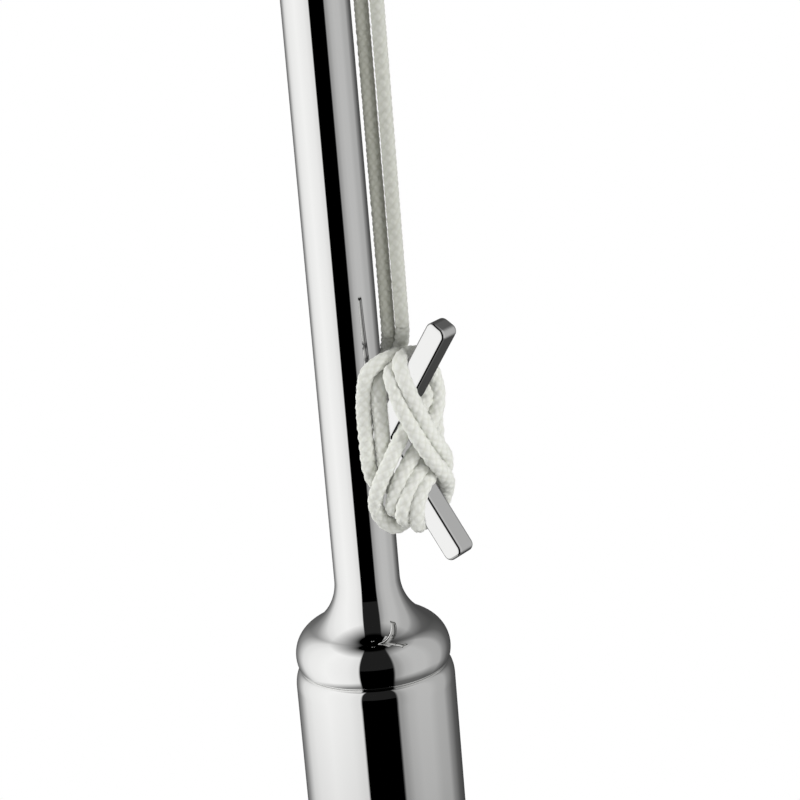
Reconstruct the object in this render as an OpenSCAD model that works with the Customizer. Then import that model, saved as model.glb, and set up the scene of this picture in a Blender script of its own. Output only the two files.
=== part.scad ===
// Table flagpole: a polished pole with a turned collar on a column and a weighted foot,
// a V-shaped cleat on the pole, and a doubled halyard belayed round the cleat.
// Millimetres, +Z up. The origin is the centre of the underside, and the cleat points along +X.

/* [Foot] */
// Diameter of the foot
foot_d = 96; // [80:1:130]
// Thickness of the felt pad under the foot
pad_t = 1.5; // [1:0.5:3]
// Margin between the pad and the foot's edge
pad_margin = 3; // [2:0.5:8]
// Height of the foot's outer edge
foot_edge_h = 7; // [5:0.5:12]
// Height of the foot's seat for the column above the table
foot_seat_z = 20; // [18:0.5:30]
// Margin of the seat's boss round the column
boss_margin = 1.5; // [1:0.25:4]
// Radius of the foot's rounded upper edge
foot_round = 3; // [1:0.5:4]
// Rise of the foot's top from its edge to the boss
foot_rise = 3.5; // [2:0.5:5]
// Size of the bevel on the foot's lower edge
foot_bevel = 1; // [0.5:0.25:2]

/* [Column] */
// Diameter of the column
column_d = 22; // [20:0.5:24]
// Height of the groove between column and collar above the table
groove_z = 78; // [60:1:110]
// Depth of the groove below the column's surface
groove_depth = 1; // [0.5:0.1:1.2]
// Height of the column's rounded shoulder
shoulder_h = 2.5; // [1:0.25:4]

/* [Collar] */
// How far the collar's widest ring stays inside the column's surface
collar_inset = 0.3; // [0:0.1:0.5]
// Height of the collar's widest ring above the groove
collar_rise = 1.8; // [1.4:0.1:2.4]
// Radius of the collar's rounded rim
collar_round = 4.5; // [4:0.1:5]
// Radius of the hollow that leads from the collar to the pole
collar_fillet = 7.5; // [5:0.1:9]

/* [Pole] */
// Diameter of the pole
pole_d = 9; // [8:0.1:10]
// Height of the pole's top end above the table
pole_top_z = 398; // [330:1:460]
// Diameter of the studs that join pole, column and foot
stud_d = 8; // [6:0.5:8]
// Length of those studs
stud_len = 12; // [8:0.5:14]
// Radial clearance round a stud
stud_clear = 0.1; // [0.05:0.05:0.2]
// Free depth below a stud's end
stud_end_clear = 1; // [0.5:0.5:2]

/* [Cleat] */
// Height of the cleat's middle above the groove
cleat_rise = 33.8; // [30:0.1:60]
// Angle between each horn and the pole
cleat_angle = 33.5; // [30:0.5:36]
// Length of a horn along its middle line
horn_len = 19.1; // [17:0.1:22]
// Width of a horn, seen from the side
horn_w = 3.1; // [2.8:0.1:3.4]
// Thickness of the cleat
horn_t = 3.4; // [3:0.1:3.6]
// Radius of the horns' corners
horn_corner = 1; // [0.4:0.1:1.3]
// Distance from the pole's axis to where the horns' middle lines meet
cleat_reach = 5.4; // [5.2:0.1:5.6]

/* [Truck] */
// Diameter of the truck, the fitting on the pole's top
truck_d = 12.5; // [12:0.5:16]
// Depth of the truck's socket for the pole
truck_socket = 8; // [6:0.5:10]
// Thickness of metal above the socket
truck_crown = 6; // [6:0.5:8]
// Radius of the truck's rounded edges
truck_round = 1; // [0.5:0.25:1.5]
// Thickness of a cheek
cheek_t = 1.2; // [1:0.1:1.5]
// Width of the end of a cheek
cheek_w = 6; // [5:0.5:7]
// Distance from the pole's axis to the pin
pin_reach = 9.2; // [9:0.1:11]
// Diameter of the pin that carries the halyard
pin_d = 1.2; // [1:0.1:1.4]

/* [Finial] */
// Diameter of the ball on top
ball_d = 16; // [12:0.5:20]
// Diameter of the ball's neck
neck_d = 7; // [6:0.5:8]
// Height of the neck
neck_h = 3; // [2:0.5:5]
// Diameter of the finial's stud
finial_stud_d = 4; // [3:0.5:5]
// Length of the finial's stud
finial_stud_len = 4; // [3:0.5:4.5]

/* [Halyard] */
// Diameter of the cord
cord_d = 1.9; // [1.6:0.1:2]
// Clearance between the cord and a cheek
cord_clear = 0.2; // [0.1:0.1:0.5]

/* [Hidden] */
$fn = 96;
// Segments of a quarter turn in a turned outline
arc_steps = 10;
// Segments of a horn's corner
corner_steps = 6;
// Sides of the cord
cord_sides = 8;
// Segments of the cord's bend over the pin
bend_steps = 8;
// Length by which cuts and studs pass a face
extra = 1;
boss_d = column_d + 2 * boss_margin;
groove_d = column_d - 2 * groove_depth;
collar_d = column_d - 2 * collar_inset;
cleat_z = groove_z + cleat_rise;
pin_z = pole_top_z + truck_crown / 2;
truck_top_z = pole_top_z + truck_crown;
cheek_gap = cord_d + 2 * cord_clear;
steel = [0.8, 0.8, 0.82];
cord_white = [0.85, 0.86, 0.82];
felt_black = [0.12, 0.12, 0.12];
// The height up to which the turns' routes run, measured from the cleat's middle
turns_top = 20;
// The two runs beside the pole: distance from its axis at the cleat
inner_run_x = 7.1;
outer_run_x = 9.4;

// Route of the turns of the outer run, from the cleat's middle: out from the pole's axis, across, up
outer_turns = [
    // Down the far flank, behind the lower horn and up the near flank beside the pole
    [outer_run_x, 0, turns_top], [9.3, 0.1, 17], [8.5, 1.2, 14.4], [7.1, 2.7, 12], [5.4, 3.5, 9], [4.6, 3.6, 5],
    [4.5, 3.7, 0], [4.8, 3.5, -3], [5.7, 2.4, -5.4], [6.1, 0.4, -6], [5.8, -1.6, -6.4], [5.2, -3.2, -6],
    [4.8, -3.8, -3.8], [4.6, -3.7, 0], [4.6, -3.7, 4], [4.9, -3.6, 7], [5.6, -3.5, 9.3],
    // Behind the upper horn and down the far flank to the first crossing, the lowest
    [6.9, -2.5, 10.6], [7.7, -0.8, 11], [8.1, 1.2, 10.9], [8.6, 3.4, 10], [9.2, 4.8, 8], [9.6, 5, 5.4],
    [10, 4.8, 2.8], [10.7, 4, 0.2], [11.4, 2.7, -2.2], [11.7, 1.4, -4], [11.9, 0, -5.2], [11.8, -1.6, -6.2],
    // Round behind the lower horn
    [11.6, -2.9, -8], [11.3, -3, -9.8], [10.9, -2.4, -11.5], [10.3, -0.4, -12], [10.6, 2.2, -11.6], [11.6, 3, -9.6],
    // The crossing on top, up to the near flank of the upper horn
    [12.3, 3, -8], [13.2, 1.9, -6.3], [13.6, 0.4, -4.6], [13.2, -1.2, -2.4], [12.4, -2.4, 0.2], [11.6, -3.1, 2.6],
    [10.7, -3.6, 5], [9.9, -3.6, 7.2], [9.2, -3.3, 8.9],
    // Behind the upper horn and down under the crossing on top
    [8.6, -2.1, 9.7], [8.5, 0, 9.4], [8.9, 2.2, 9.1], [10, 2.8, 7.9], [10.3, 2.7, 6.3], [10.8, 2, 4.9],
    [10.7, 0.4, 3.6], [10.1, -1.3, 2.2], [9.3, -2.7, 0.2], [8.2, -3.9, -2.6],
    // The loop at the bottom, with its end behind the lower horn
    [6.9, -4.7, -5.6], [5.8, -4.5, -8.2], [5.8, -3.8, -10.4], [6.8, -2.9, -12], [7.4, -1.5, -12.3], [7.4, 0.2, -12]];

// Route of the turns of the inner run, beside the outer ones
inner_turns = [
    // Down the far flank, behind the lower horn and up the near flank outside the other strand
    [inner_run_x, 0, turns_top], [7, 0.1, 17], [6.2, 1.2, 14.2], [4.8, 3.1, 12], [3.3, 4.5, 9], [2.8, 4.9, 5],
    [2.8, 4.9, 0], [3, 4.8, -4], [4.2, 3.9, -6.6], [5.8, 2.4, -7.8], [6.8, 0.4, -8], [7.1, -1.6, -7.6],
    [7, -2.9, -5.8], [6.7, -2.9, -2.6], [6.6, -2.8, 1.6], [6.6, -2.8, 5.4], [6.6, -2.4, 7.6],
    // Behind the upper horn and down the far flank to the first crossing
    [6.8, -1, 8.6], [6.9, 0.8, 8.7], [7.1, 3.2, 8.3], [7.4, 4.9, 7.2], [7.8, 5.2, 5], [8.3, 5, 2.4],
    [9.1, 4.2, 0.2], [10, 2.8, -1.5], [10.8, 1, -2.7], [11.2, -0.8, -3.9], [10.7, -2.5, -5.6],
    // Round behind the lower horn
    [10.1, -3.7, -7.8], [9.5, -3.7, -9.8], [9.2, -2.7, -10.9], [9, -0.8, -10.6], [9.2, 2.2, -10], [10.4, 3, -8],
    // The crossing on top, up to the near flank of the upper horn
    [11.6, 3.2, -6.4], [12.6, 2.7, -4.6], [13.3, 1.6, -2.6], [13.2, 0.1, -0.5], [12.9, -1.2, 1.9], [12.4, -2.2, 4.4],
    [11.6, -2.9, 7.2], [10.8, -3, 9.4],
    // Behind the upper horn and down under the crossing on top
    [10.1, -2.3, 11], [9.6, -0.2, 11.2], [9.9, 2.2, 10.9], [11, 3.1, 9.2], [11.6, 3.5, 6.6], [11.9, 3.2, 4.6],
    [12, 2.2, 2.8], [11.7, 0.8, 1.2], [11.2, -0.6, -0.6], [10.4, -1.9, -2.4], [9.5, -3.2, -4.6],
    // The end behind the lower horn
    [8.6, -3.8, -7.2], [7.8, -3.5, -9.2], [7.7, -1.9, -9.8], [7.9, 0, -9.6]];

// Points of an arc in an outline, from angle a to angle b
function arc(centre, radius, a, b, steps = arc_steps) =
    [for (i = [0 : steps]) centre + radius * [cos(a + (b - a) * i / steps), sin(a + (b - a) * i / steps)]];

// Direction of a route at point i
function heading(path, i) =
    let (step = path[min(i + 1, len(path) - 1)] - path[max(i - 1, 0)]) step / norm(step);

// A side vector carried along a route without twist, one for each point
function sides(path, i, side) =
    i == len(path) ? [] :
    let (t = heading(path, i), s = side - (side * t) * t, n = s / norm(s))
    concat([n], sides(path, i + 1, n));

// A round cord along a route
module cord(path) {
    n = cord_sides;
    side = sides(path, 0, [0, 1, 0]);
    rings = [for (i = [0 : len(path) - 1], k = [0 : n - 1])
        let (a = 360 * k / n, s = side[i], u = cross(heading(path, i), s))
        path[i] + cord_d / 2 * (cos(a) * s + sin(a) * u)];
    walls = [for (i = [0 : len(path) - 2], k = [0 : n - 1])
        [i * n + k, i * n + (k + 1) % n, (i + 1) * n + (k + 1) % n, (i + 1) * n + k]];
    first_end = [for (k = [n - 1 : -1 : 0]) k];
    last_end = [for (k = [0 : n - 1]) (len(path) - 1) * n + k];
    polyhedron(rings, [for (f = concat([first_end, last_end], walls)) [for (i = [len(f) - 1 : -1 : 0]) f[i]]]);
}

module felt_pad() {
    color(felt_black) cylinder(d = foot_d - 2 * pad_margin, h = pad_t);
}

// Foot: a turned disc with a rounded edge, rising by a hollow to the boss that the column stands on
module foot() {
    boss_r = boss_d / 2;
    edge_r = foot_d / 2;
    hollow = foot_seat_z - foot_edge_h - foot_rise - foot_round;
    hollow_z = foot_seat_z - foot_round;
    color(steel) difference() {
        rotate_extrude() polygon(concat(
            [[0, pad_t], [edge_r - foot_bevel, pad_t], [edge_r, pad_t + foot_bevel]],
            arc([edge_r - foot_round, foot_edge_h - foot_round], foot_round, 0, 90),
            arc([boss_r + hollow, hollow_z], hollow, 270, 180),
            arc([boss_r - foot_round, foot_seat_z - foot_round], foot_round, 0, 90),
            [[0, foot_seat_z]]));
        translate([0, 0, foot_seat_z - stud_len - stud_end_clear])
            cylinder(d = stud_d + 2 * stud_clear, h = stud_len + 2 * stud_end_clear);
    }
}

// Column: a plain cylinder with rounded ends, a stud below and a socket above
module column() {
    r = column_d / 2;
    land_r = groove_d / 2;
    inset = r - land_r;
    color(steel) difference() {
        union() {
            rotate_extrude() polygon(concat(
                [[0, foot_seat_z], [land_r, foot_seat_z], [r, foot_seat_z + inset]],
                [for (i = [0 : arc_steps]) let (a = 90 * i / arc_steps)
                    [land_r + inset * cos(a), groove_z - shoulder_h + shoulder_h * sin(a)]],
                [[0, groove_z]]));
            translate([0, 0, foot_seat_z - stud_len]) cylinder(d = stud_d, h = stud_len + extra);
        }
        translate([0, 0, groove_z - stud_len - stud_end_clear])
            cylinder(d = stud_d + 2 * stud_clear, h = stud_len + 2 * stud_end_clear);
    }
}

// Pole: turned in one with its collar, which flows into the pole by a hollow
module pole() {
    r = pole_d / 2;
    rim_x = collar_d / 2 - collar_round;
    rim_z = groove_z + collar_rise;
    hollow_x = r + collar_fillet;
    hollow_z = rim_z + sqrt(pow(collar_round + collar_fillet, 2) - pow(hollow_x - rim_x, 2));
    meet = atan2(hollow_z - rim_z, hollow_x - rim_x);
    tuck = -acos((groove_d / 2 - rim_x) / collar_round);
    color(steel) union() {
        rotate_extrude() polygon(concat(
            [[0, groove_z], [groove_d / 2, groove_z]],
            arc([rim_x, rim_z], collar_round, max(tuck, -asin(collar_rise / collar_round)), meet),
            arc([hollow_x, hollow_z], collar_fillet, 180 + meet, 180),
            [[r, pole_top_z], [0, pole_top_z]]));
        translate([0, 0, groove_z - stud_len]) cylinder(d = stud_d, h = stud_len + extra);
    }
}

// Corners of the upper horn's free end in the cleat's plane, from the outer side to the pole's side
function horn_end() =
    let (x = horn_len - horn_corner, y = horn_w / 2 - horn_corner,
         corners = concat(arc([x, -y], horn_corner, -90, 0, corner_steps),
                          arc([x, y], horn_corner, 0, 90, corner_steps)))
    [for (p = corners) [cleat_reach + p.x * sin(cleat_angle) - p.y * cos(cleat_angle),
                        p.x * cos(cleat_angle) + p.y * sin(cleat_angle)]];

// Cleat: two horns that spring from the pole as a V, fixed to it where they meet
module cleat() {
    half = horn_w / 2 / cos(cleat_angle);
    end = horn_end();
    color(steel) difference() {
        translate([0, 0, cleat_z]) rotate([90, 0, 0]) linear_extrude(horn_t, center = true) polygon(concat(
            [[cleat_reach + half, 0]], end, [[cleat_reach - half, 0]],
            [for (i = [len(end) - 1 : -1 : 0]) [end[i].x, -end[i].y]]));
        translate([0, 0, cleat_z - horn_len]) cylinder(d = pole_d, h = 2 * horn_len);
    }
}

// Truck: a turned cap on the pole's top with two cheeks that hold the pin
module truck() {
    r = truck_d / 2;
    low_z = pole_top_z - truck_socket;
    color(steel) difference() {
        union() {
            rotate_extrude() polygon(concat(
                [[0, low_z]],
                arc([r - truck_round, low_z + truck_round], truck_round, -90, 0),
                arc([r - truck_round, truck_top_z - truck_round], truck_round, 0, 90),
                [[0, truck_top_z]]));
            for (side = [-1, 1]) translate([0, side * (cheek_gap + cheek_t) / 2, pin_z]) rotate([90, 0, 0]) {
                translate([pin_reach, 0, 0]) cylinder(d = cheek_w, h = cheek_t, center = true);
                translate([0, -cheek_w / 2, -cheek_t / 2]) cube([pin_reach, cheek_w, cheek_t]);
            }
        }
        translate([0, 0, low_z - extra]) cylinder(d = pole_d, h = truck_socket + extra);
        translate([0, 0, truck_top_z - finial_stud_len - stud_clear])
            cylinder(d = finial_stud_d, h = finial_stud_len + stud_clear + extra);
        translate([pin_reach, 0, pin_z]) rotate([90, 0, 0])
            cylinder(d = pin_d, h = cheek_gap + 4 * cheek_t, center = true);
    }
}

module halyard_pin() {
    color(steel) translate([pin_reach, 0, pin_z]) rotate([90, 0, 0])
        cylinder(d = pin_d, h = cheek_gap + 2 * cheek_t, center = true);
}

// Finial: a ball on a short neck, with a stud that screws into the truck
module finial() {
    color(steel) {
        translate([0, 0, truck_top_z - finial_stud_len]) cylinder(d = finial_stud_d, h = finial_stud_len);
        translate([0, 0, truck_top_z]) cylinder(d = neck_d, h = neck_h + ball_d / 2);
        translate([0, 0, truck_top_z + neck_h + ball_d / 2]) sphere(d = ball_d);
    }
}

// Both runs beside the pole, joined by the bend over the pin
module halyard_runs() {
    bend = (pin_d + cord_d) / 2 + cord_clear;
    low_z = cleat_z + turns_top;
    over_pin = [for (i = [0 : bend_steps]) let (a = 180 * i / bend_steps)
        [pin_reach + bend * cos(a), 0, pin_z + bend * sin(a)]];
    color(cord_white) cord(concat([[outer_run_x, 0, low_z]], over_pin, [[inner_run_x, 0, low_z]]));
}

module halyard_turns_inner() {
    color(cord_white) translate([0, 0, cleat_z]) cord(inner_turns);
}

module halyard_turns_outer() {
    color(cord_white) translate([0, 0, cleat_z]) cord(outer_turns);
}

felt_pad();
foot();
column();
pole();
cleat();
truck();
halyard_pin();
finial();
halyard_runs();
halyard_turns_inner();
halyard_turns_outer();
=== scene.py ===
"""Table flagpole: the polished turned parts, the V-shaped cleat and the braided halyard round it."""
import math

import bmesh
import bpy
from mathutils import Matrix, Vector


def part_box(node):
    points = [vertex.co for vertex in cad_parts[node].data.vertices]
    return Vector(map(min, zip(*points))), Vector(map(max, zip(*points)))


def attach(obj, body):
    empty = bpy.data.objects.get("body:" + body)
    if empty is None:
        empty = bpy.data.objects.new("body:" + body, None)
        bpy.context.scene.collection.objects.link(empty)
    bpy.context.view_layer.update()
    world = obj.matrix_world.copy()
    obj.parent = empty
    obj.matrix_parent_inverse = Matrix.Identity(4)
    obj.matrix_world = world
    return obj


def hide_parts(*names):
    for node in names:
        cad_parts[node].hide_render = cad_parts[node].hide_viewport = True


bl_info = {
    "name": "Table flagpole",
    "version": (1, 0, 0),
    "blender": (4, 5, 0),
    "location": "View3D > Sidebar > Flagpole",
    "description": "Makes a polished table flagpole with a cleat and a braided halyard",
    "category": "Object",
}

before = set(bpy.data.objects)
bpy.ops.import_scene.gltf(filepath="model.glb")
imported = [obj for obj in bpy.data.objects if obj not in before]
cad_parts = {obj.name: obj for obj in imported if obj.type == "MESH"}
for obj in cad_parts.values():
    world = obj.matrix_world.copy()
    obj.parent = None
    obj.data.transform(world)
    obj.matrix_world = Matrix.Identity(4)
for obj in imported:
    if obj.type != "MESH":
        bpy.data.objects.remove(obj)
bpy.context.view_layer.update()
MM = 0.001

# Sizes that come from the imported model, in metres
FOOT_LOW, FOOT_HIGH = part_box("foot")
COLUMN_LOW, COLUMN_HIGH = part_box("column")
POLE_LOW, POLE_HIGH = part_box("pole")
TRUCK_LOW, TRUCK_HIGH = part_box("truck")
CLEAT_LOW, CLEAT_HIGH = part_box("cleat")
FINIAL_LOW, FINIAL_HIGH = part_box("finial")
PIN_LOW, PIN_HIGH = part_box("halyard_pin")
PAD_LOW, PAD_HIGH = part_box("felt_pad")

# Height of the groove between column and collar, and of the cleat's middle
GROOVE_Z = COLUMN_HIGH[2]
CLEAT_Z = (CLEAT_LOW[2] + CLEAT_HIGH[2]) / 2

# The halyard's turns on the cleat, in millimetres from the cleat's middle:
# out from the pole's axis, across, up. The same points as in the part's source.
OUTER_TURNS = [
    # Down the far flank, behind the lower horn and up the near flank beside the pole
    (9.4, 0, 20), (9.3, 0.1, 17), (8.5, 1.2, 14.4), (7.1, 2.7, 12), (5.4, 3.5, 9), (4.6, 3.6, 5),
    (4.5, 3.7, 0), (4.8, 3.5, -3), (5.7, 2.4, -5.4), (6.1, 0.4, -6), (5.8, -1.6, -6.4), (5.2, -3.2, -6),
    (4.8, -3.8, -3.8), (4.6, -3.7, 0), (4.6, -3.7, 4), (4.9, -3.6, 7), (5.6, -3.5, 9.3),
    # Behind the upper horn and down the far flank to the first crossing, the lowest
    (6.9, -2.5, 10.6), (7.7, -0.8, 11), (8.1, 1.2, 10.9), (8.6, 3.4, 10), (9.2, 4.8, 8), (9.6, 5, 5.4),
    (10, 4.8, 2.8), (10.7, 4, 0.2), (11.4, 2.7, -2.2), (11.7, 1.4, -4), (11.9, 0, -5.2), (11.8, -1.6, -6.2),
    # Round behind the lower horn
    (11.6, -2.9, -8), (11.3, -3, -9.8), (10.9, -2.4, -11.5),
    (10.3, -0.4, -12), (10.6, 2.2, -11.6), (11.6, 3, -9.6),
    # The crossing on top, up to the near flank of the upper horn
    (12.3, 3, -8), (13.2, 1.9, -6.3), (13.6, 0.4, -4.6), (13.2, -1.2, -2.4),
    (12.4, -2.4, 0.2), (11.6, -3.1, 2.6),
    (10.7, -3.6, 5), (9.9, -3.6, 7.2), (9.2, -3.3, 8.9),
    # Behind the upper horn and down under the crossing on top
    (8.6, -2.1, 9.7), (8.5, 0, 9.4), (8.9, 2.2, 9.1), (10, 2.8, 7.9), (10.3, 2.7, 6.3), (10.8, 2, 4.9),
    (10.7, 0.4, 3.6), (10.1, -1.3, 2.2), (9.3, -2.7, 0.2), (8.2, -3.9, -2.6),
    # The loop at the bottom, with its end behind the lower horn
    (6.9, -4.7, -5.6), (5.8, -4.5, -8.2), (5.8, -3.8, -10.4),
    (6.8, -2.9, -12), (7.4, -1.5, -12.3), (7.4, 0.2, -12),
]
INNER_TURNS = [
    # Down the far flank, behind the lower horn and up the near flank outside the other strand
    (7.1, 0, 20), (7, 0.1, 17), (6.2, 1.2, 14.2), (4.8, 3.1, 12), (3.3, 4.5, 9), (2.8, 4.9, 5),
    (2.8, 4.9, 0), (3, 4.8, -4), (4.2, 3.9, -6.6), (5.8, 2.4, -7.8), (6.8, 0.4, -8), (7.1, -1.6, -7.6),
    (7, -2.9, -5.8), (6.7, -2.9, -2.6), (6.6, -2.8, 1.6), (6.6, -2.8, 5.4), (6.6, -2.4, 7.6),
    # Behind the upper horn and down the far flank to the first crossing
    (6.8, -1, 8.6), (6.9, 0.8, 8.7), (7.1, 3.2, 8.3), (7.4, 4.9, 7.2), (7.8, 5.2, 5), (8.3, 5, 2.4),
    (9.1, 4.2, 0.2), (10, 2.8, -1.5), (10.8, 1, -2.7), (11.2, -0.8, -3.9), (10.7, -2.5, -5.6),
    # Round behind the lower horn
    (10.1, -3.7, -7.8), (9.5, -3.7, -9.8), (9.2, -2.7, -10.9),
    (9, -0.8, -10.6), (9.2, 2.2, -10), (10.4, 3, -8),
    # The crossing on top, up to the near flank of the upper horn
    (11.6, 3.2, -6.4), (12.6, 2.7, -4.6), (13.3, 1.6, -2.6),
    (13.2, 0.1, -0.5), (12.9, -1.2, 1.9), (12.4, -2.2, 4.4),
    (11.6, -2.9, 7.2), (10.8, -3, 9.4),
    # Behind the upper horn and down under the crossing on top
    (10.1, -2.3, 11), (9.6, -0.2, 11.2), (9.9, 2.2, 10.9),
    (11, 3.1, 9.2), (11.6, 3.5, 6.6), (11.9, 3.2, 4.6),
    (12, 2.2, 2.8), (11.7, 0.8, 1.2), (11.2, -0.6, -0.6), (10.4, -1.9, -2.4), (9.5, -3.2, -4.6),
    # The end behind the lower horn
    (8.6, -3.8, -7.2), (7.8, -3.5, -9.2), (7.7, -1.9, -9.8), (7.9, 0, -9.6),
]


def to_linear(code):
    """Linear RGB from an sRGB hex value."""
    values = [int(code[i:i + 2], 16) / 255 for i in (1, 3, 5)]
    return [v / 12.92 if v <= 0.04045 else ((v + 0.055) / 1.055) ** 2.4 for v in values]


class FlagpoleSizes(bpy.types.PropertyGroup):
    """Sizes of the turned parts, the cleat and the halyard."""

    turned_segments: bpy.props.IntProperty(
        name="Turned segments", description="Segments round a turned part", default=160, min=32)
    collar_inset: bpy.props.FloatProperty(
        name="Collar inset", description="How far the collar stays inside the column's surface",
        default=0.3 * MM, unit="LENGTH")
    collar_rise: bpy.props.FloatProperty(
        name="Collar rise", description="Height of the collar's widest ring above the groove",
        default=1.8 * MM, unit="LENGTH")
    collar_round: bpy.props.FloatProperty(
        name="Collar rim radius", description="Radius of the collar's rounded rim",
        default=4.5 * MM, unit="LENGTH")
    collar_fillet: bpy.props.FloatProperty(
        name="Collar hollow radius", description="Radius of the hollow from the collar to the pole",
        default=7.5 * MM, unit="LENGTH")
    groove_depth: bpy.props.FloatProperty(
        name="Groove depth", description="Depth of the groove below the column's surface",
        default=1 * MM, unit="LENGTH")
    shoulder_height: bpy.props.FloatProperty(
        name="Shoulder height", description="Height of the column's rounded shoulder",
        default=2.5 * MM, unit="LENGTH")
    pole_diameter: bpy.props.FloatProperty(
        name="Pole diameter", description="Diameter of the pole", default=9 * MM, unit="LENGTH")
    cleat_angle: bpy.props.FloatProperty(
        name="Cleat angle", description="Angle between each horn and the pole",
        default=math.radians(33.5), unit="ROTATION")
    horn_length: bpy.props.FloatProperty(
        name="Horn length", description="Length of a horn along its middle line",
        default=19.1 * MM, unit="LENGTH")
    horn_width: bpy.props.FloatProperty(
        name="Horn width", description="Width of a horn, seen from the side",
        default=3.1 * MM, unit="LENGTH")
    horn_corner: bpy.props.FloatProperty(
        name="Horn corner", description="Radius of the corners at a horn's end",
        default=1 * MM, unit="LENGTH")
    horn_edge: bpy.props.FloatProperty(
        name="Horn edge", description="Width of the polished-over edges", default=0.5 * MM, unit="LENGTH")
    cleat_reach: bpy.props.FloatProperty(
        name="Cleat reach", description="Distance from the pole's axis to where the horns' middle lines meet",
        default=5.4 * MM, unit="LENGTH")
    slack_diameter: bpy.props.FloatProperty(
        name="Cord in the turns", description="Diameter of the cord in the turns",
        default=2.04 * MM, unit="LENGTH")
    taut_diameter: bpy.props.FloatProperty(
        name="Cord in the runs", description="Diameter of the cord where it runs taut",
        default=1.82 * MM, unit="LENGTH")
    strands: bpy.props.IntProperty(
        name="Strands each way", description="Strands of the braid that run each way round",
        default=5, min=3)
    stitch: bpy.props.FloatProperty(
        name="Stitch length", description="Length of one stitch of the braid along the cord",
        default=1.4 * MM, unit="LENGTH")
    relief: bpy.props.FloatProperty(
        name="Braid relief", description="Height of a stitch above its edges",
        default=0.16 * MM, unit="LENGTH")


class FlagpoleColours(bpy.types.PropertyGroup):
    """Colours of the finishes."""

    steel: bpy.props.FloatVectorProperty(
        name="Steel", description="Colour of the polished steel", subtype="COLOR",
        default=to_linear("#F4F4F3"))
    cord_crown: bpy.props.FloatVectorProperty(
        name="Cord, crowns", description="Colour of the braid's raised stitches", subtype="COLOR",
        default=to_linear("#E6E7E1"))
    # Painted shade: the valleys between the stitches are greyer
    cord_valley_shade: bpy.props.FloatVectorProperty(
        name="Cord, shaded valleys", description="Colour between the braid's stitches", subtype="COLOR",
        default=to_linear("#DADBD1"))
    # Partly wear, partly painted shade: the runs' grey stands in for the shade beside the pole
    cord_wear_and_shade: bpy.props.FloatVectorProperty(
        name="Cord, wear and shade", description="Tint of the runs at their greyest, beside the pole",
        subtype="COLOR",
        default=to_linear("#B4B4AC"))
    felt: bpy.props.FloatVectorProperty(
        name="Felt", description="Colour of the felt pad", subtype="COLOR", default=to_linear("#2B2B2D"))


def sizes():
    return bpy.context.scene.flagpole_sizes


def colours():
    return bpy.context.scene.flagpole_colours


def add(tree, kind, settings=None, inputs=None, stops=()):
    """Adds one node with settings, inputs and colour stops; an input is a value or another node's output."""
    node = tree.nodes.new(kind)
    for name, value in (settings or {}).items():
        setattr(node, name, value)
    for name, value in (inputs or {}).items():
        if isinstance(value, bpy.types.NodeSocket):
            tree.links.new(value, node.inputs[name])
        else:
            node.inputs[name].default_value = value
    points = node.color_ramp.elements if stops else []
    while len(points) < len(stops):
        points.new(0.5)
    for point, (place, code) in zip(points, stops):
        point.position = place
        point.color = (*to_linear(code), 1)
    return node


def new_material(name):
    """An empty node material with its output."""
    material = bpy.data.materials.new(name)
    material.use_nodes = True
    tree = material.node_tree
    tree.nodes.clear()
    return material, tree, tree.nodes.new("ShaderNodeOutputMaterial")


def polished_steel():
    """Stainless steel, turned and buffed to a mirror.

    The eye sees the room in it, almost sharp, with faint wipe marks and hair-fine buffing lines.
    """
    name = "polished_stainless_steel"
    if name in bpy.data.materials:
        return bpy.data.materials[name]
    material, tree, output = new_material(name)
    place = add(tree, "ShaderNodeTexCoord").outputs["Object"]
    # Wipe marks, about 8 mm across
    marks = add(tree, "ShaderNodeTexNoise", inputs={
        "Vector": place, "Scale": 120, "Detail": 3, "Roughness": 0.6})
    gloss = add(tree, "ShaderNodeMapRange", inputs={
        "Value": marks.outputs["Fac"], "From Min": 0.4, "From Max": 0.8, "To Min": 0.015, "To Max": 0.05})
    # Buffing lines round the turned parts, about 0.15 mm apart
    lengthwise = add(tree, "ShaderNodeMapping", inputs={"Vector": place, "Scale": (60, 60, 6500)})
    lines = add(tree, "ShaderNodeTexNoise", inputs={
        "Vector": lengthwise.outputs["Vector"], "Scale": 1, "Detail": 1})
    bump = add(tree, "ShaderNodeBump", inputs={
        "Height": lines.outputs["Fac"], "Strength": 0.02, "Distance": 0.01 * MM})
    # Painted shade: the steel is darker in crevices, within 0.5 mm
    open_share = add(tree, "ShaderNodeAmbientOcclusion", {"samples": 8}, {"Distance": 0.5 * MM})
    crevice_shade = add(tree, "ShaderNodeMapRange", inputs={
        "Value": open_share.outputs["AO"], "From Min": 0.08, "From Max": 0.4})
    # Painted shade: the steel is a little darker from the groove down
    height = add(tree, "ShaderNodeSeparateXYZ", inputs={"Vector": place}).outputs["Z"]
    lower_shade = add(tree, "ShaderNodeMapRange", inputs={
        "Value": height, "From Min": GROOVE_Z - 20 * MM, "From Max": GROOVE_Z,
        "To Min": 0.86, "To Max": 1.0})
    tint = add(tree, "ShaderNodeVectorMath", {"operation": "SCALE"}, {
        "Vector": tuple(colours().steel), "Scale": lower_shade.outputs["Result"]})
    colour = add(tree, "ShaderNodeMix", {"data_type": "RGBA"}, {
        "Factor": crevice_shade.outputs["Result"], 6: (*to_linear("#6A6A6A"), 1), 7: tint.outputs["Vector"]})
    shader = add(tree, "ShaderNodeBsdfPrincipled", inputs={
        "Base Color": colour.outputs[2], "Metallic": 1.0,
        "Roughness": gloss.outputs["Result"], "Normal": bump.outputs["Normal"]})
    tree.links.new(shader.outputs["BSDF"], output.inputs["Surface"])
    return material


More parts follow.
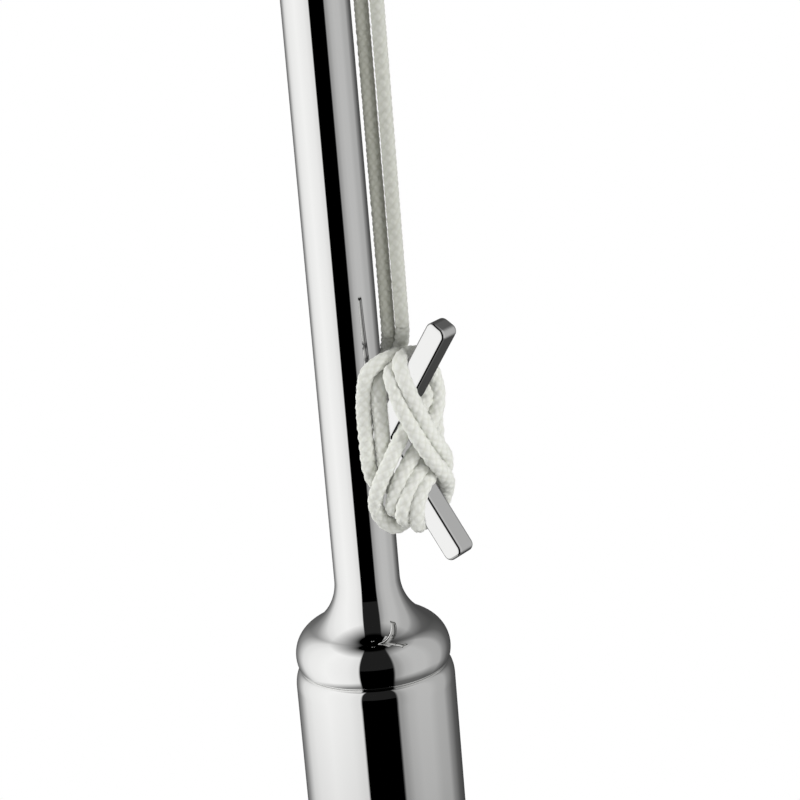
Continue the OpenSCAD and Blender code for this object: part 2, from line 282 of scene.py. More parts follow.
def braided_polyester():
    """Polyester yarn, plaited to a round halyard.

    The eye sees chalky white stitches and no gloss; the valleys between them are painted greyer as shade.
    """
    name = "braided_polyester"
    if name in bpy.data.materials:
        return bpy.data.materials[name]
    material, tree, output = new_material(name)
    place = add(tree, "ShaderNodeTexCoord").outputs["Object"]
    height = add(tree, "ShaderNodeAttribute", {"attribute_name": "stitch_height"}).outputs["Fac"]
    # Uneven yarn, about 1 mm, and single fibres, about 0.1 mm
    yarn = add(tree, "ShaderNodeTexNoise", inputs={"Vector": place, "Scale": 900, "Detail": 3})
    fibre = add(tree, "ShaderNodeTexNoise", inputs={"Vector": place, "Scale": 9000, "Detail": 2})
    # Painted shade: the valleys between the stitches are darker, with the uneven yarn tone mixed in
    uneven = add(tree, "ShaderNodeMath", {"operation": "MULTIPLY_ADD"}, {
        0: yarn.outputs["Fac"], 1: 0.6, 2: height})
    shade = add(tree, "ShaderNodeMapRange", inputs={
        "Value": uneven.outputs[0], "From Min": 0.2, "From Max": 1.0})
    colour = add(tree, "ShaderNodeMix", {"data_type": "RGBA"}, {
        "Factor": shade.outputs["Result"], 6: (*colours().cord_valley_shade, 1), 7: (*colours().cord_crown, 1)})
    bump = add(tree, "ShaderNodeBump", inputs={
        "Height": fibre.outputs["Fac"], "Strength": 0.5, "Distance": 0.03 * MM})
    # The runs above the cleat are greyer, most on the side towards the pole: partly wear, partly painted
    # shade for the pole's and the other run's shade; the turns are clean
    where = add(tree, "ShaderNodeSeparateXYZ", inputs={"Vector": place}).outputs
    wear_and_shade_across = add(tree, "ShaderNodeMapRange", inputs={
        "Value": where["X"], "From Min": 6.2 * MM, "From Max": 11 * MM, "To Min": 1.0, "To Max": 0.35})
    wear_and_shade_share = add(tree, "ShaderNodeMapRange", inputs={
        "Value": where["Z"], "From Min": CLEAT_Z + 11 * MM, "From Max": CLEAT_Z + 17 * MM,
        "To Max": wear_and_shade_across.outputs["Result"]})
    worn_and_shaded = add(tree, "ShaderNodeMix", {"data_type": "RGBA", "blend_type": "MULTIPLY"}, {
        "Factor": wear_and_shade_share.outputs["Result"], 6: colour.outputs[2], 7: (*colours().cord_wear_and_shade, 1)})
    shader = add(tree, "ShaderNodeBsdfPrincipled", inputs={
        "Base Color": worn_and_shaded.outputs[2], "Roughness": 0.9, "Specular IOR Level": 0.2,
        "Sheen Weight": 0.15, "Normal": bump.outputs["Normal"]})
    tree.links.new(shader.outputs["BSDF"], output.inputs["Surface"])
    return material


def wool_felt():
    """Pressed wool felt, cut to a disc.

    The eye sees a matt, almost black nap with lighter specks of fibre.
    """
    name = "wool_felt"
    if name in bpy.data.materials:
        return bpy.data.materials[name]
    material, tree, output = new_material(name)
    place = add(tree, "ShaderNodeTexCoord").outputs["Object"]
    # Tufts of fibre, about 0.5 mm
    nap = add(tree, "ShaderNodeTexNoise", inputs={
        "Vector": place, "Scale": 2000, "Detail": 4, "Roughness": 0.7})
    deep = [c * 0.4 for c in colours().felt]
    pale = [c * 1.6 for c in colours().felt]
    colour = add(tree, "ShaderNodeMix", {"data_type": "RGBA"}, {
        "Factor": nap.outputs["Fac"], 6: (*deep, 1), 7: (*pale, 1)})
    bump = add(tree, "ShaderNodeBump", inputs={
        "Height": nap.outputs["Fac"], "Strength": 0.8, "Distance": 0.3 * MM})
    shader = add(tree, "ShaderNodeBsdfPrincipled", inputs={
        "Base Color": colour.outputs[2], "Roughness": 1.0, "Specular IOR Level": 0.1,
        "Sheen Weight": 0.3, "Normal": bump.outputs["Normal"]})
    tree.links.new(shader.outputs["BSDF"], output.inputs["Surface"])
    return material


def finish_piece(name, mesh, material, slot, *nodes):
    """Makes the object of a mesh that replaces CAD nodes and rides on the part."""
    piece = bpy.data.objects.new(name, mesh)
    bpy.context.scene.collection.objects.link(piece)
    mesh.materials.clear()
    mesh.materials.append(material)
    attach(piece, "root")
    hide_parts(*nodes)
    return piece


def arc(centre, radius, start, stop, steps):
    """Points of an arc in an outline, from one angle to another in radians."""
    turns = [start + (stop - start) * i / steps for i in range(steps + 1)]
    return [(centre[0] + radius * math.cos(t), centre[1] + radius * math.sin(t)) for t in turns]


def outline(corners, steps=14):
    """An outline of straight lines from corners (radius out, height, rounding), each corner rounded."""
    points = [corners[0][:2]]
    for before, corner, after in zip(corners, corners[1:], corners[2:]):
        here = Vector(corner[:2])
        back = (Vector(before[:2]) - here).normalized()
        on = (Vector(after[:2]) - here).normalized()
        half = back.angle(on) / 2
        reach = corner[2] / math.tan(half)
        centre = here + (back + on).normalized() * corner[2] / math.sin(half)
        first = here + back * reach - centre
        last = here + on * reach - centre
        sweep = first.angle_signed(last)
        start = math.atan2(first.y, first.x)
        points += arc(centre, corner[2], start, start - sweep, steps)
    return points + [corners[-1][:2]]


def supported(points):
    """The outline with extra points near the ends of each long line, which keep its reflections straight."""
    near = 0.03 * MM
    result = [points[0]]
    for a, b in zip(points, points[1:]):
        a, b = Vector(a), Vector(b)
        if (b - a).length > 20 * near:
            step = (b - a).normalized() * near
            result += [tuple(a + step), tuple(b - step)]
        result.append(tuple(b))
    return result


def turned(points):
    """A turned solid from an outline that starts and ends on the axis."""
    bm = bmesh.new()
    count = sizes().turned_segments
    rings = []
    for r, z in supported(points):
        if r < 1e-7:
            rings.append([bm.verts.new((0, 0, z))])
            continue
        angles = [2 * math.pi * k / count for k in range(count)]
        rings.append([bm.verts.new((r * math.cos(a), r * math.sin(a), z)) for a in angles])
    for low, high in zip(rings, rings[1:]):
        for k in range(count):
            after = (k + 1) % count
            if len(low) == 1:
                bm.faces.new((low[0], high[k], high[after]))
            elif len(high) == 1:
                bm.faces.new((low[k], low[after], high[0]))
            else:
                bm.faces.new((low[k], low[after], high[after], high[k]))
    bmesh.ops.recalc_face_normals(bm, faces=bm.faces)
    for face in bm.faces:
        face.smooth = True
    return bm


def to_mesh(bm, name):
    mesh = bpy.data.meshes.new(name)
    bm.to_mesh(mesh)
    bm.free()
    return mesh


def plate(points, low_y, high_y, edge):
    """A flat plate with an outline in the XZ plane and rounded edges; its flat faces stay flat-shaded."""
    bm = bmesh.new()
    face = bm.faces.new([bm.verts.new((x, low_y, z)) for x, z in points])
    grown = bmesh.ops.extrude_face_region(bm, geom=[face])
    moved = [v for v in grown["geom"] if isinstance(v, bmesh.types.BMVert)]
    bmesh.ops.translate(bm, verts=moved, vec=(0, high_y - low_y, 0))
    bmesh.ops.recalc_face_normals(bm, faces=bm.faces)
    rims = [e for e in bm.edges if e.calc_face_angle(0) > math.radians(50)]
    made = bmesh.ops.bevel(
        bm, geom=rims, offset=edge, segments=6, profile=0.5, affect="EDGES", clamp_overlap=True)
    for face in made["faces"]:
        face.smooth = True
    return bm


class FLAGPOLE_OT_felt_pad(bpy.types.Operator):
    """Make the felt pad under the foot"""

    bl_idname = "flagpole.felt_pad"
    bl_label = "Felt pad"

    def execute(self, context):
        radius = PAD_HIGH[0]
        corners = [(0, PAD_LOW[2], 0), (radius, PAD_LOW[2], 0.3 * MM), (radius, PAD_HIGH[2], 0.1 * MM),
                   (0, PAD_HIGH[2], 0)]
        mesh = to_mesh(turned(outline(corners, 4)), "felt_pad_visual")
        finish_piece("felt_pad_visual", mesh, wool_felt(), "felt", "felt_pad")
        return {"FINISHED"}


class FLAGPOLE_OT_turned_parts(bpy.types.Operator):
    """Make the foot, the column, the pole with its collar, and the finial"""

    bl_idname = "flagpole.turned_parts"
    bl_label = "Turned parts"

    def execute(self, context):
        s = sizes()
        steel = polished_steel()
        pad_top = PAD_HIGH[2]
        edge = FOOT_HIGH[0]
        seat = FOOT_HIGH[2]
        column = COLUMN_HIGH[0]
        boss = column + 1.5 * MM

        # Foot: a rounded edge, a gentle rise and a hollow up to the boss
        foot = outline([
            (0, pad_top, 0), (edge - 1 * MM, pad_top, 0.3 * MM), (edge, pad_top + 1 * MM, 0.5 * MM),
            (edge, 6.6 * MM, 3 * MM), (boss, 11.37 * MM, 6.5 * MM), (boss, seat, 2.6 * MM), (0, seat, 0)])
        finish_piece("foot_visual", to_mesh(turned(foot), "foot_visual"), steel, "steel", "foot")

        # Column: a bevelled lower end and a rounded shoulder below the groove
        land = column - s.groove_depth
        shoulder = GROOVE_Z - s.shoulder_height
        lower = outline([(0, seat, 0), (land, seat, 0.2 * MM), (column, seat + s.groove_depth, 0.4 * MM),
                         (column, shoulder, 0)])[:-1]
        upper = [(land + s.groove_depth * math.cos(a), shoulder + s.shoulder_height * math.sin(a))
                 for a in [math.pi / 2 * i / 24 for i in range(25)]]
        # The groove opens this far above and below the joint, and runs a little deeper there
        opening = 0.15 * MM
        recess = land - 0.2 * MM
        upper = [(x, z - opening) for x, z in upper]
        upper += [(recess, GROOVE_Z - opening), (recess, GROOVE_Z), (0, GROOVE_Z)]
        mesh = to_mesh(turned(lower + upper), "column_visual")
        finish_piece("column_visual", mesh, steel, "steel", "column")

        # Pole: the collar's rim, the hollow that leads to the pole, and the plain pole
        r = s.pole_diameter / 2
        rim = (column - s.collar_inset - s.collar_round, GROOVE_Z + s.collar_rise)
        hollow_x = r + s.collar_fillet
        reach = s.collar_round + s.collar_fillet
        hollow = (hollow_x, rim[1] + math.sqrt(reach ** 2 - (hollow_x - rim[0]) ** 2))
        meet = math.atan2(hollow[1] - rim[1], hollow[0] - rim[0])
        tuck = -math.asin((s.collar_rise - opening) / s.collar_round)
        pole = [(0, GROOVE_Z), (recess, GROOVE_Z), (recess, GROOVE_Z + opening)]
        pole += arc(rim, s.collar_round, tuck, meet, 64)
        pole += arc(hollow, s.collar_fillet, math.pi + meet, math.pi, 64)[1:]
        pole += outline([(r, hollow[1], 0), (r, POLE_HIGH[2], 0.3 * MM), (0, POLE_HIGH[2], 0)])[1:]
        finish_piece("pole_visual", to_mesh(turned(pole), "pole_visual"), steel, "steel", "pole")

        # Finial: a ball on a short neck
        ball = FINIAL_HIGH[0]
        middle = FINIAL_HIGH[2] - ball
        neck = 3.5 * MM
        under = math.acos(neck / ball)
        finial = [(0, TRUCK_HIGH[2]), (neck, TRUCK_HIGH[2])]
        finial += arc((0, middle), ball, -under, math.pi / 2, 72)[:-1] + [(0, middle + ball)]
        finish_piece("finial_visual", to_mesh(turned(finial), "finial_visual"), steel, "steel", "finial")
        return {"FINISHED"}


class FLAGPOLE_OT_cleat(bpy.types.Operator):
    """Make the V-shaped cleat with polished-over edges"""

    bl_idname = "flagpole.cleat"
    bl_label = "Cleat"

    def execute(self, context):
        s = sizes()
        across = s.horn_width / 2
        tip = s.horn_length - s.horn_corner
        side = across - s.horn_corner
        end = arc((tip, -side), s.horn_corner, -math.pi / 2, 0, 10)
        end += arc((tip, side), s.horn_corner, 0, math.pi / 2, 10)
        sine, cosine = math.sin(s.cleat_angle), math.cos(s.cleat_angle)
        upper = [(s.cleat_reach + x * sine - y * cosine, x * cosine + y * sine) for x, y in end]
        half = across / cosine
        points = [(s.cleat_reach + half, 0)] + upper + [(s.cleat_reach - half, 0)]
        points += [(x, -z) for x, z in reversed(upper)]
        bm = plate([(x, CLEAT_Z + z) for x, z in points], CLEAT_LOW[1], CLEAT_HIGH[1], s.horn_edge)
        finish_piece("cleat_visual", to_mesh(bm, "cleat_visual"), polished_steel(), "steel", "cleat")
        return {"FINISHED"}


class FLAGPOLE_OT_truck(bpy.types.Operator):
    """Make the truck on the pole's top, with its cheeks and pin"""

    bl_idname = "flagpole.truck"
    bl_label = "Truck"

    def execute(self, context):
        low, high = TRUCK_LOW[2], TRUCK_HIGH[2]
        radius = -TRUCK_LOW[0]
        pin_x = (PIN_LOW[0] + PIN_HIGH[0]) / 2
        pin_z = (PIN_LOW[2] + PIN_HIGH[2]) / 2
        cheek_r = TRUCK_HIGH[0] - pin_x
        cheek_out = PIN_HIGH[1]
        cheek_in = cheek_out - 1.2 * MM
        bm = turned(outline([(0, low, 0), (radius, low, 1 * MM), (radius, high, 1 * MM), (0, high, 0)]))
        mesh = to_mesh(bm, "truck_visual")
        bm = bmesh.new()
        bm.from_mesh(mesh)
        for sign in (-1, 1):
            points = arc((pin_x, pin_z), cheek_r, -math.pi / 2, math.pi / 2, 32)
            points += [(4 * MM, pin_z + cheek_r - 0.4 * MM), (4 * MM, pin_z - cheek_r)]
            cheek = plate(points, *sorted((sign * cheek_in, sign * cheek_out)), 0.2 * MM)
            part = to_mesh(cheek, "cheek")
            bm.from_mesh(part)
            bpy.data.meshes.remove(part)
        bm.to_mesh(mesh)
        bm.free()
        finish_piece("truck_visual", mesh, polished_steel(), "steel", "truck")

        # Pin: a rivet with a low domed head at each end
        shank = PIN_HIGH[0] - pin_x
        head, dome = 1.9 * shank, 0.45 * MM
        end = cheek_out - 0.05 * MM
        points = [(0, -end - dome)]
        turns = [math.pi / 2 * i / 12 for i in range(1, 13)]
        points += [(head * math.sin(a), -end - dome * math.cos(a)) for a in turns]
        points += [(shank, -end)]
        points += [(r, -z) for r, z in reversed(points)]
        bm = turned(points)
        across = Matrix.Translation((pin_x, 0, pin_z)) @ Matrix.Rotation(math.pi / 2, 4, "X")
        bmesh.ops.transform(bm, matrix=across, verts=bm.verts)
        mesh = to_mesh(bm, "halyard_pin_visual")
        finish_piece("halyard_pin_visual", mesh, polished_steel(), "steel", "halyard_pin")
        return {"FINISHED"}


def halyard_route():
    """The whole route, from the inner strand's end over the pin to the outer strand's end, in metres."""
    lift = CLEAT_Z / MM
    inner = [(x, y, lift + z) for x, y, z in reversed(INNER_TURNS)]
    outer = [(x, y, lift + z) for x, y, z in OUTER_TURNS]
    pin_x = (PIN_LOW[0] + PIN_HIGH[0]) / 2 / MM
    pin_z = (PIN_LOW[2] + PIN_HIGH[2]) / 2 / MM
    bend = 1.75
    turns = [math.pi * i / 8 for i in range(9)]
    over = [(pin_x - bend * math.cos(a), 0, pin_z + bend * math.sin(a)) for a in turns]

    def run(a, b):
        # Points close to both ends and wider apart between them, so that the line stays straight
        shares = (0.015, 0.04, 0.1, 0.2, 0.35, 0.5, 0.65, 0.8, 0.9, 0.96, 0.985, 0.995)
        return [tuple(Vector(a).lerp(Vector(b), share)) for share in shares]

    points = inner + run(inner[-1], over[0]) + over + list(reversed(run(outer[0], over[-1]))) + outer
    return [Vector(p) * MM for p in points]


def braid_tree():
    """Geometry nodes that braid a cord along a curve and keep the stretch between two lengths."""
    tree = bpy.data.node_groups.new("Braided cord", "GeometryNodeTree")
    face = tree.interface
    face.new_socket("Geometry", in_out="INPUT", socket_type="NodeSocketGeometry")
    for name, kind in (("Ring spacing", "Float"), ("Sides", "Int"), ("Strands each way", "Int"),
                       ("Stitch", "Float"), ("Relief", "Float"), ("From", "Float"), ("To", "Float"),
                       ("Material", "Material")):
        face.new_socket(name, in_out="INPUT", socket_type=f"NodeSocket{kind}")
    face.new_socket("Geometry", in_out="OUTPUT", socket_type="NodeSocketGeometry")
    given = tree.nodes.new("NodeGroupInput").outputs
    result = tree.nodes.new("NodeGroupOutput")

    # A smooth line through the route's points, in even steps
    kind = add(tree, "GeometryNodeCurveSplineType", {"spline_type": "CATMULL_ROM"}, {
        "Curve": given["Geometry"]})
    fine = add(tree, "GeometryNodeSetSplineResolution", inputs={
        "Geometry": kind.outputs["Curve"], "Resolution": 24})
    line = add(tree, "GeometryNodeResampleCurve", {"mode": "LENGTH"}, {
        "Curve": fine.outputs["Geometry"], "Length": given["Ring spacing"]})
    along = add(tree, "GeometryNodeCaptureAttribute", {"domain": "POINT"}, {
        "Geometry": line.outputs["Curve"]})
    along.capture_items.new("FLOAT", "Along")
    tree.links.new(add(tree, "GeometryNodeSplineParameter").outputs["Length"], along.inputs["Along"])
    ring = add(tree, "GeometryNodeCurvePrimitiveCircle", inputs={"Resolution": given["Sides"], "Radius": 1.0})
    around = add(tree, "GeometryNodeCaptureAttribute", {"domain": "POINT"}, {
        "Geometry": ring.outputs["Curve"]})
    around.capture_items.new("FLOAT", "Around")
    tree.links.new(add(tree, "GeometryNodeSplineParameter").outputs["Factor"], around.inputs["Around"])
    radius = add(tree, "GeometryNodeInputRadius").outputs["Radius"]
    tube = add(tree, "GeometryNodeCurveToMesh", inputs={
        "Curve": along.outputs["Geometry"], "Profile Curve": around.outputs["Geometry"],
        "Scale": radius, "Fill Caps": True})

    # Strands one way and the other: each stitch is a cushion, longer along its own strand
    wander = add(tree, "ShaderNodeTexNoise", inputs={"Scale": 350, "Detail": 1}).outputs["Fac"]
    found = {"around": around.outputs["Around"], "along": along.outputs["Along"], "wander": wander,
             "strands": given["Strands each way"], "stitch": given["Stitch"], "relief": given["Relief"],
             "from": given["From"], "to": given["To"]}
    for name, operation, *sources in (
            ("even", "MULTIPLY", "around", "strands"),
            ("shift", "SUBTRACT", "wander", 0.5),
            ("turn", "MULTIPLY_ADD", "shift", 0.7, "even"),
            ("step", "DIVIDE", "along", "stitch"),
            ("one_turn", "ADD", "turn", "step"),
            ("one_angle", "MULTIPLY", "one_turn", math.pi),
            ("one", "SINE", "one_angle"),
            ("other_turn", "SUBTRACT", "turn", "step"),
            ("other_angle", "MULTIPLY", "other_turn", math.pi),
            ("other", "SINE", "other_angle"),
            ("both", "MULTIPLY", "one", "other"),
            ("on_top", "GREATER_THAN", "both", 0.0),
            ("one_width", "ABSOLUTE", "one"),
            ("other_width", "ABSOLUTE", "other"),
            ("wider", "SUBTRACT", "one_width", "other_width"),
            ("width", "MULTIPLY_ADD", "wider", "on_top", "other_width"),
            ("bulge", "ABSOLUTE", "both"),
            ("cushion", "POWER", "bulge", 0.45),
            ("pinch", "POWER", "width", 0.4),
            ("height", "MULTIPLY", "cushion", "pinch"),
            ("above", "SUBTRACT", "height", 0.6),
            ("rise", "MULTIPLY", "above", "relief"),
            ("before", "LESS_THAN", "along", "from"),
            ("after", "GREATER_THAN", "along", "to")):
        inputs = {place: found.get(source, source) for place, source in enumerate(sources)}
        found[name] = add(tree, "ShaderNodeMath", {"operation": operation}, inputs).outputs[0]
    normal = add(tree, "GeometryNodeInputNormal").outputs["Normal"]
    push = add(tree, "ShaderNodeVectorMath", {"operation": "SCALE"}, {
        "Vector": normal, "Scale": found["rise"]})
    braided = add(tree, "GeometryNodeSetPosition", inputs={
        "Geometry": tube.outputs["Mesh"], "Offset": push.outputs["Vector"]})
    stored = add(tree, "GeometryNodeStoreNamedAttribute", {"data_type": "FLOAT", "domain": "POINT"}, {
        "Geometry": braided.outputs["Geometry"], "Name": "stitch_height", "Value": found["height"]})
    shaded = add(tree, "GeometryNodeStoreNamedAttribute", {"data_type": "FLOAT_VECTOR", "domain": "POINT"}, {
        "Geometry": stored.outputs["Geometry"], "Name": "whole_normal", "Value": normal})

    # Keep one stretch of the whole cord
    outside = add(tree, "FunctionNodeBooleanMath", {"operation": "OR"}, {
        0: found["before"], 1: found["after"]})
    kept = add(tree, "GeometryNodeDeleteGeometry", {"domain": "POINT"}, {
        "Geometry": shaded.outputs["Geometry"], "Selection": outside.outputs["Boolean"]})
    smooth = add(tree, "GeometryNodeSetShadeSmooth", inputs={"Geometry": kept.outputs["Geometry"]})
    real = add(tree, "GeometryNodeRealizeInstances", inputs={"Geometry": smooth.outputs["Geometry"]})
    painted = add(tree, "GeometryNodeSetMaterial", inputs={
        "Geometry": real.outputs["Geometry"], "Material": given["Material"]})
    tree.links.new(painted.outputs["Geometry"], result.inputs["Geometry"])
    return tree


def close_ends(mesh):
    """Closes the cut ends of a stretch of cord, inside the next stretch."""
    bm = bmesh.new()
    bm.from_mesh(mesh)
    bmesh.ops.holes_fill(bm, edges=bm.edges, sides=0)
    bmesh.ops.recalc_face_normals(bm, faces=bm.faces)
    bm.to_mesh(mesh)
    bm.free()


class FLAGPOLE_OT_halyard(bpy.types.Operator):
    """Make the braided halyard: two runs over the pin and the turns on the cleat"""

    bl_idname = "flagpole.halyard"
    bl_label = "Halyard"

    def execute(self, context):
        s = sizes()
        points = halyard_route()
        curve = bpy.data.curves.new("halyard_line", "CURVE")
        curve.dimensions = "3D"
        spline = curve.splines.new("POLY")
        spline.points.add(len(points) - 1)
        for point, place in zip(spline.points, points):
            # The cord is drawn thin in the runs and swells where it is wound
            share = min(max((CLEAT_Z + 15 * MM - place.z) / (5 * MM), 0), 1)
            point.co = (*place, 1)
            point.radius = (s.taut_diameter + (s.slack_diameter - s.taut_diameter) * share) / 2
        route = bpy.data.objects.new("halyard_line", curve)
        context.scene.collection.objects.link(route)
        lengths = [0]
        for a, b in zip(points, points[1:]):
            lengths.append(lengths[-1] + (b - a).length)
        # Cut where each strand leaves its turns and at the middle of the bend over the pin
        cuts = [0, lengths[len(INNER_TURNS) - 3], lengths[len(INNER_TURNS) + 16],
                lengths[2 - len(OUTER_TURNS)], 2 * lengths[-1]]
        names = ("halyard_turns_inner", "halyard_run_inner", "halyard_run_outer", "halyard_turns_outer")
        nodes = ("halyard_turns_inner", "halyard_runs", "halyard_runs", "halyard_turns_outer")
        tree = braid_tree()
        sockets = [item for item in tree.interface.items_tree if item.in_out == "INPUT"]
        identifiers = {item.name: item.identifier for item in sockets}
        spacing = 0.15 * MM
        for name, node, start, stop in zip(names, nodes, cuts, cuts[1:]):
            modifier = route.modifiers.new("Braid", "NODES")
            modifier.node_group = tree
            values = {"Ring spacing": spacing, "Sides": 36, "Strands each way": s.strands,
                      "Stitch": s.stitch, "Relief": s.relief, "From": start - spacing, "To": stop + spacing,
                      "Material": braided_polyester()}
            for label, value in values.items():
                modifier[identifiers[label]] = value
            ready = route.evaluated_get(context.evaluated_depsgraph_get())
            mesh = bpy.data.meshes.new_from_object(ready)
            route.modifiers.remove(modifier)
            mesh.name = f"{name}_visual"
            close_ends(mesh)
            # The shading of the whole cord, so that no seam shows between two stretches
            normals = [tuple(item.vector) for item in mesh.attributes["whole_normal"].data]
            mesh.normals_split_custom_set_from_vertices(normals)
            mesh.attributes.remove(mesh.attributes["whole_normal"])
            piece = finish_piece(f"{name}_visual", mesh, braided_polyester(), "cord", node)
            piece.visible_glossy = False
        bpy.data.objects.remove(route)
        return {"FINISHED"}


# The camera of the photograph in millimetres, worked out from the outlines of pole, collar and cleat
CAMERA_PLACE = Vector((205.62, -282.25, 222.0)) * MM
CAMERA_AIM = Vector((-0.5485, 0.7834, -0.2924))
CAMERA_RIGHT = Vector((0.8303, 0.5518, -0.0806))
CAMERA_LENS = 122.4


def studio_world(scene):
    """A studio of two light panels with a dark gap at the camera, darker overhead, below and behind.

    The camera sees white, matt surfaces get an even light, and polished metal mirrors the studio.
    """
    world = bpy.data.worlds.new("studio")
    scene.world = world
    world.use_nodes = True
    tree = world.node_tree
    tree.nodes.clear()
    output = tree.nodes.new("ShaderNodeOutputWorld")
    way = add(tree, "ShaderNodeTexCoord").outputs["Generated"]
    # Turned so that X points away from the camera's side of the object, and Y to the left
    turn = math.atan2(CAMERA_AIM.y, CAMERA_AIM.x)
    facing = add(tree, "ShaderNodeVectorRotate", {"rotation_type": "Z_AXIS"}, {"Vector": way, "Angle": -turn})
    parts = add(tree, "ShaderNodeSeparateXYZ", inputs={"Vector": facing.outputs["Vector"]}).outputs

    # Shares of a full turn from the camera, positive to the right, and of a half turn up.
    # The gap keeps some of its width overhead, and more towards the floor.
    # The floor's dark starts higher up on the right than on the left.
    found = {"x": parts["X"], "y": parts["Y"], "z": parts["Z"]}
    for name, operation, *sources in (
            ("right", "MULTIPLY", "y", -1.0),
            ("near", "MULTIPLY", "x", -1.0),
            ("round_angle", "ARCTAN2", "right", "near"),
            ("round_degrees", "DEGREES", "round_angle"),
            ("round_share", "MULTIPLY_ADD", "round_degrees", 1 / 360, 0.5),
            ("up_angle", "ARCSINE", "z"),
            ("up_degrees", "DEGREES", "up_angle"),
            ("up_share", "MULTIPLY_ADD", "up_degrees", 1 / 180, 0.5),
            ("sloping_share", "MULTIPLY_ADD", "right", -0.05, "up_share"),
            ("below", "LESS_THAN", "z", 0.0),
            ("keep", "MULTIPLY_ADD", "below", 0.15, 0.12),
            ("steep", "MULTIPLY", "z", "z"),
            ("kept", "MULTIPLY", "steep", "keep"),
            ("depth_square", "MULTIPLY_ADD", "near", "near", "kept"),
            ("depth", "SQRT", "depth_square"),
            ("band_angle", "ARCTAN2", "right", "depth"),
            ("band_degrees", "DEGREES", "band_angle"),
            ("band_share", "MULTIPLY_ADD", "band_degrees", 1 / 360, 0.5),
            ("front", "GREATER_THAN", "near", 0.0)):
        inputs = {place: found.get(source, source) for place, source in enumerate(sources)}
        found[name] = add(tree, "ShaderNodeMath", {"operation": operation}, inputs).outputs[0]

    # Colour stops by degrees: the two panels round the object, the gap at the camera and the wall seen in it,
    # the dark overhead and the darker floor
    shade = {}
    for name, source, whole, stops in (
            ("panels", "round_share", 360, (
                (-180, "#505050"), (-160, "#6A6A6A"), (-145, "#969696"), (-125, "#E4E4E4"), (-108, "#F3F3F3"),
                (-75, "#FCFCFC"), (-41, "#F3F3F3"), (-28, "#E8E8E8"), (-1, "#E8E8E8"), (1, "#989898"),
                (34, "#9C9C9C"), (45, "#B6B6B6"), (60, "#C0C0C0"), (80, "#C0C0C0"), (95, "#B4B4B4"),
                (113, "#B0B0B0"), (122, "#909090"), (140, "#5E5E5E"), (160, "#484848"), (180, "#484848"))),
            ("gap", "band_share", 360, (
                (-23, "#000000"), (-21.5, "#FFFFFF"), (27.5, "#FFFFFF"), (30, "#000000"))),
            ("gap_wall", "up_share", 180, (
                (5, "#000000"), (7, "#202020"), (70, "#202020"), (76, "#000000"))),
            ("overhead", "up_share", 180, ((50, "#FFFFFF"), (78, "#000000"))),
            ("floor", "sloping_share", 180, ((-75, "#606060"), (-50, "#909090"), (-33, "#FFFFFF")))):
        places = [(degrees / whole + 0.5, code) for degrees, code in stops]
        ramp = add(tree, "ShaderNodeValToRGB", inputs={"Fac": found[source]}, stops=places)
        shade[name] = ramp.outputs["Color"]
    gap_share = add(tree, "ShaderNodeMath", {"operation": "MULTIPLY"}, {
        0: found["front"], 1: shade["gap"]})
    multiply = {"data_type": "RGBA", "blend_type": "MULTIPLY"}
    dimmed = add(tree, "ShaderNodeMix", multiply, {"Factor": 1.0, 6: shade["overhead"], 7: shade["floor"]})
    lit = add(tree, "ShaderNodeMix", multiply, {"Factor": 1.0, 6: shade["panels"], 7: dimmed.outputs[2]})
    mirrored = add(tree, "ShaderNodeMix", {"data_type": "RGBA"}, {
        "Factor": gap_share.outputs[0], 6: lit.outputs[2], 7: shade["gap_wall"]})

    path = add(tree, "ShaderNodeLightPath").outputs
    for_matt = add(tree, "ShaderNodeBackground", inputs={"Color": (1, 1, 1, 1), "Strength": 0.33})
    for_metal = add(tree, "ShaderNodeBackground", inputs={"Color": mirrored.outputs[2], "Strength": 1.0})
    for_camera = add(tree, "ShaderNodeBackground", inputs={"Color": (1, 1, 1, 1), "Strength": 1.0})
    metal = add(tree, "ShaderNodeMixShader", inputs={
        "Fac": path["Is Glossy Ray"], 1: for_matt.outputs[0], 2: for_metal.outputs[0]})
    seen = add(tree, "ShaderNodeMixShader", inputs={
        "Fac": path["Is Camera Ray"], 1: metal.outputs[0], 2: for_camera.outputs[0]})
    tree.links.new(seen.outputs[0], output.inputs["Surface"])


def white_floor():
    """A table top, white to the camera with the object's soft shadow, and clear to the metal's mirror."""
    material, tree, output = new_material("white_table_top")
    path = add(tree, "ShaderNodeLightPath").outputs
    matt = add(tree, "ShaderNodeBsdfDiffuse", inputs={"Color": (*to_linear("#F2F2F2"), 1)})
    # The soft shadow round whatever stands on it, within 50 mm
    open_share = add(tree, "ShaderNodeAmbientOcclusion", {"samples": 16}, {"Distance": 50 * MM})
    shadow = add(tree, "ShaderNodeMapRange", inputs={
        "Value": open_share.outputs["AO"], "From Min": 0.2, "To Min": 0.35})
    white = add(tree, "ShaderNodeEmission", inputs={
        "Color": (1, 1, 1, 1), "Strength": shadow.outputs["Result"]})
    clear = add(tree, "ShaderNodeBsdfTransparent")
    seen = add(tree, "ShaderNodeMixShader", inputs={
        "Fac": path["Is Camera Ray"], 1: matt.outputs[0], 2: white.outputs[0]})
    mirrored = add(tree, "ShaderNodeMixShader", inputs={
        "Fac": path["Is Glossy Ray"], 1: seen.outputs[0], 2: clear.outputs[0]})
    tree.links.new(mirrored.outputs[0], output.inputs["Surface"])
    return material


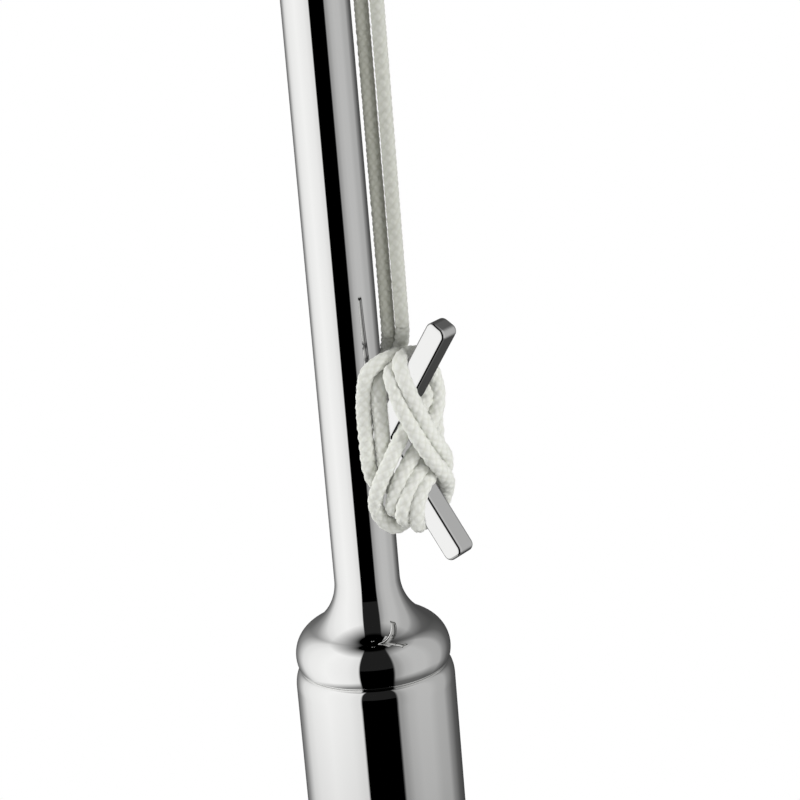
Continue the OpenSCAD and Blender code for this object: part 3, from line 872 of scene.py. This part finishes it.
class FLAGPOLE_OT_stage(bpy.types.Operator):
    """Make the camera, the table top, the studio and its lamps"""

    bl_idname = "flagpole.stage"
    bl_label = "Stage"

    def execute(self, context):
        scene = context.scene
        scene.view_settings.view_transform = "Standard"
        data = bpy.data.cameras.new("camera")
        data.sensor_width = 36
        data.lens = CAMERA_LENS
        data.clip_start = 0.01
        camera = bpy.data.objects.new("camera", data)
        back = -CAMERA_AIM.normalized()
        right = (CAMERA_RIGHT - CAMERA_RIGHT.dot(back) * back).normalized()
        up = back.cross(right)
        turned_to = Matrix((right, up, back)).transposed().to_4x4()
        camera.matrix_world = Matrix.Translation(CAMERA_PLACE) @ turned_to
        scene.collection.objects.link(camera)
        scene.camera = camera

        mesh = bpy.data.meshes.new("table_top")
        half = 4.0
        corners = [(-half, -half, 0), (half, -half, 0), (half, half, 0), (-half, half, 0)]
        mesh.from_pydata(corners, [], [(0, 1, 2, 3)])
        mesh.materials.append(white_floor())
        table = bpy.data.objects.new("table_top", mesh)
        scene.collection.objects.link(table)

        # A soft lamp high on the camera's left and a weaker one on its right, neither mirrored by the metal
        for name, place, size, power in (("key_lamp", (-0.87, -0.49, 0.5), 0.3, 8.0),
                                         ("fill_lamp", (0.9, -0.1, 0.5), 0.4, 5.5)):
            lamp = bpy.data.lights.new(name, "AREA")
            lamp.size = size
            lamp.energy = power
            holder = bpy.data.objects.new(name, lamp)
            holder.location = place
            aim = Vector((0, 0, CLEAT_Z)) - Vector(place)
            holder.rotation_euler = aim.to_track_quat("-Z", "Y").to_euler()
            holder.visible_glossy = False
            scene.collection.objects.link(holder)
        studio_world(scene)
        return {"FINISHED"}


class FLAGPOLE_PT_panel(bpy.types.Panel):
    """Lists the flagpole's pieces, sizes and colours"""

    bl_idname = "FLAGPOLE_PT_panel"
    bl_label = "Table flagpole"
    bl_space_type = "VIEW_3D"
    bl_region_type = "UI"
    bl_category = "Flagpole"

    def draw(self, context):
        for operator in OPERATORS:
            self.layout.operator(operator.bl_idname)
        for group in (context.scene.flagpole_sizes, context.scene.flagpole_colours):
            for name in group.__annotations__:
                self.layout.prop(group, name)


OPERATORS = (FLAGPOLE_OT_stage, FLAGPOLE_OT_halyard, FLAGPOLE_OT_felt_pad, FLAGPOLE_OT_turned_parts,
             FLAGPOLE_OT_cleat, FLAGPOLE_OT_truck)
CLASSES = (FlagpoleSizes, FlagpoleColours, *OPERATORS, FLAGPOLE_PT_panel)


def register():
    for item in CLASSES:
        bpy.utils.register_class(item)
    bpy.types.Scene.flagpole_sizes = bpy.props.PointerProperty(type=FlagpoleSizes)
    bpy.types.Scene.flagpole_colours = bpy.props.PointerProperty(type=FlagpoleColours)


def unregister():
    del bpy.types.Scene.flagpole_colours
    del bpy.types.Scene.flagpole_sizes
    for item in reversed(CLASSES):
        bpy.utils.unregister_class(item)


def main():
    register()
    bpy.ops.flagpole.stage()
    bpy.ops.flagpole.halyard()
    bpy.ops.flagpole.felt_pad()
    bpy.ops.flagpole.turned_parts()
    bpy.ops.flagpole.cleat()
    bpy.ops.flagpole.truck()


if __name__ == "__main__":
    main()
